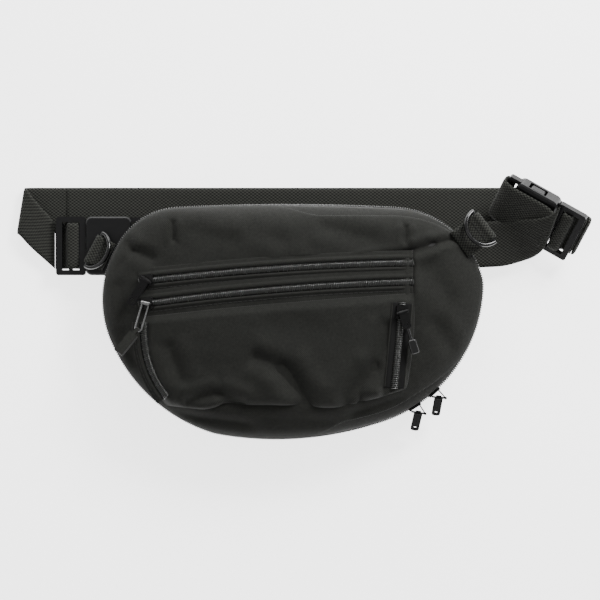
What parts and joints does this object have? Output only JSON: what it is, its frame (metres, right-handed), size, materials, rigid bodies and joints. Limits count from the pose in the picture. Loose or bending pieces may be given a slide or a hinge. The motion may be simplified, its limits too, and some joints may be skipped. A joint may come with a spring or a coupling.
{
  "type": "waist pack",
  "caption": "Half-round waist pack with zipped front pockets, a wrap-round main zip, webbing belt, side-release buckles and D-rings.",
  "frame": {"origin": "centre of the whole pack, belt and buckles as laid flat, on the table under the back panel", "axes": "+X along the belt to the wide round end of the pack, +Y to the belt edge of the pack, +Z out of the front panel"},
  "size_m": [0.4766, 0.2181, 0.0693],
  "materials": {
    "pack_cloth": "plain-weave nylon, matt with a faint sheen",
    "webbing": "coarse woven nylon webbing",
    "lining_cloth": "thin coated lining",
    "foam": "closed-cell foam, hidden",
    "zip_tape": "fine woven zip tape",
    "zip_coil": "coiled nylon monofilament",
    "zip_metal": "black gloss lacquer on die-cast metal",
    "buckle_plastic": "moulded acetal, satin",
    "ring_plastic": "moulded acetal, glossy",
    "grip_plastic": "moulded grip, glossy"
  },
  "bodies": {
    "rear_shell": {"back_panel_cloth": "pack_cloth", "back_padding": "foam", "back_lining": "lining_cloth", "rear_gusset": "pack_cloth", "main_zip_rear_tape": "zip_tape", "main_zip_rear_coil": "zip_coil", "left_buckle_shell": "buckle_plastic", "right_buckle_shell": "buckle_plastic", "belt_back_run": "webbing", "left_wing_webbing": "webbing", "right_wing_webbing": "webbing", "left_ring_tab": "webbing"},
    "front_shell": {"main_zip_front_coil": "zip_coil", "main_zip_front_tape": "zip_tape", "front_gusset": "pack_cloth", "front_panel": "pack_cloth", "pocket_lining": "lining_cloth", "pocket_panel": "pack_cloth", "pocket_gusset": "pack_cloth", "zip_a_tape": "zip_tape", "zip_a_coil": "zip_coil", "zip_b_tape": "zip_tape", "zip_b_coil": "zip_coil", "zip_c_tape": "zip_tape", "zip_c_coil": "zip_coil", "zip_d_tape": "zip_tape", "zip_d_coil": "zip_coil", "right_ring_tab": "webbing"},
    "zip_a_slider": {"zip_a_slider": "zip_metal"},
    "zip_a_pull": {"zip_a_pull": "zip_metal"},
    "zip_b_slider": {"zip_b_slider": "zip_metal"},
    "zip_b_loop": {"zip_b_loop": "zip_metal"},
    "zip_b_tab": {"zip_b_tab": "pack_cloth"},
    "zip_d_slider": {"zip_d_slider": "zip_metal"},
    "zip_d_pull": {"zip_d_pull": "zip_metal", "zip_d_grip": "grip_plastic"},
    "main_zip_lower_slider": {"main_zip_lower_slider": "zip_metal"},
    "main_zip_lower_pull": {"main_zip_lower_pull": "zip_metal"},
    "main_zip_upper_slider": {"main_zip_upper_slider": "zip_metal"},
    "main_zip_upper_pull": {"main_zip_upper_pull": "zip_metal"},
    "left_d_ring": {"left_d_ring": "ring_plastic"},
    "right_d_ring": {"right_d_ring": "ring_plastic"},
    "left_buckle_plug": {"left_buckle_plug": "buckle_plastic", "left_buckle_prongs": "buckle_plastic", "left_ladder_webbing": "webbing", "belt_left_fold": "webbing"},
    "right_buckle_plug": {"right_buckle_plug": "buckle_plastic", "right_buckle_prongs": "buckle_plastic", "right_ladder_webbing": "webbing", "belt_right_fold": "webbing"}
  },
  "joints": [
    {"name": "main_compartment_open", "type": "hinge", "parent": "rear_shell", "child": "front_shell", "pos_m": [-0.1635, 0, 0.03], "axis": [0, -1, 0], "range_deg": [0, 75]},
    {"name": "zip_a_slide", "type": "hinge", "parent": "front_shell", "child": "zip_a_slider", "pos_m": [0.00413, -0.17185, -0.60047], "axis": [-0.0604, 0.9535, -0.2954], "range_deg": [0, 17.43]},
    {"name": "zip_b_slide", "type": "hinge", "parent": "front_shell", "child": "zip_b_slider", "pos_m": [0.00907, -0.20848, -0.58107], "axis": [-0.0722, 0.9411, -0.3302], "range_deg": [0, 17.74]},
    {"name": "zip_d_slide", "type": "hinge", "parent": "front_shell", "child": "zip_d_slider", "pos_m": [-0.25728, 0.01225, -0.49521], "axis": [0.8486, -0.0819, -0.5227], "range_deg": [0, 4.2]},
    {"name": "zip_a_pull_lift", "type": "hinge", "parent": "zip_a_slider", "child": "zip_a_pull", "pos_m": [-0.12555, 0.02165, 0.0556], "axis": [-0.8319, 0.5294, -0.1662], "range_deg": [0, 140]},
    {"name": "zip_b_pull_lift", "type": "hinge", "parent": "zip_b_slider", "child": "zip_b_loop", "pos_m": [-0.12556, 0.00282, 0.05625], "axis": [-0.9636, 0.2084, -0.1675], "range_deg": [0, 130]},
    {"name": "zip_b_tab_fold", "type": "hinge", "parent": "zip_b_loop", "child": "zip_b_tab", "pos_m": [-0.13256, -0.01939, 0.06224], "axis": [0.7824, -0.5672, 0.257], "range_deg": [-60, 0]},
    {"name": "zip_d_pull_lift", "type": "hinge", "parent": "zip_d_slider", "child": "zip_d_pull", "pos_m": [0.08316, -0.00463, 0.06508], "axis": [-0.9475, -0.2957, 0.1212], "range_deg": [0, 140]},
    {"name": "main_zip_lower_slide", "type": "hinge", "parent": "rear_shell", "child": "main_zip_lower_slider", "pos_m": [0.0304, 0.0201, 0.03], "axis": [0, 0, 1], "range_deg": [-13, 0]},
    {"name": "main_zip_upper_slide", "type": "hinge", "parent": "rear_shell", "child": "main_zip_upper_slider", "pos_m": [0.0304, 0.0201, 0.03], "axis": [0, 0, 1], "range_deg": [0, 45]},
    {"name": "main_zip_lower_pull_lift", "type": "hinge", "parent": "main_zip_lower_slider", "child": "main_zip_lower_pull", "pos_m": [0.09765, -0.08752, 0.03], "axis": [-0.9877, 0.1564, 0], "range_deg": [0, 100]},
    {"name": "main_zip_upper_pull_lift", "type": "hinge", "parent": "main_zip_upper_slider", "child": "main_zip_upper_pull", "pos_m": [0.11449, -0.07494, 0.03], "axis": [-0.9945, 0.1045, 0], "range_deg": [0, 100]},
    {"name": "left_d_ring_swing", "type": "hinge", "parent": "rear_shell", "child": "left_d_ring", "pos_m": [-0.1705, 0.047, 0.0205], "axis": [-0.4695, -0.8829, 0], "range_deg": [0, 130]},
    {"name": "right_d_ring_swing", "type": "hinge", "parent": "front_shell", "child": "right_d_ring", "pos_m": [0.1505, 0.0655, 0.044], "axis": [-0.6018, 0.7986, 0], "range_deg": [0, 130]},
    {"name": "left_buckle_release", "type": "slide", "parent": "rear_shell", "child": "left_buckle_plug", "axis": [-1, 0, 0], "range_m": [0, 0.032], "deforming": ["left_buckle_prongs"]},
    {"name": "right_buckle_release", "type": "slide", "parent": "rear_shell", "child": "right_buckle_plug", "axis": [0.8576, -0.4951, 0.1392], "range_m": [0, 0.032], "deforming": ["right_buckle_prongs"]}
  ]
}
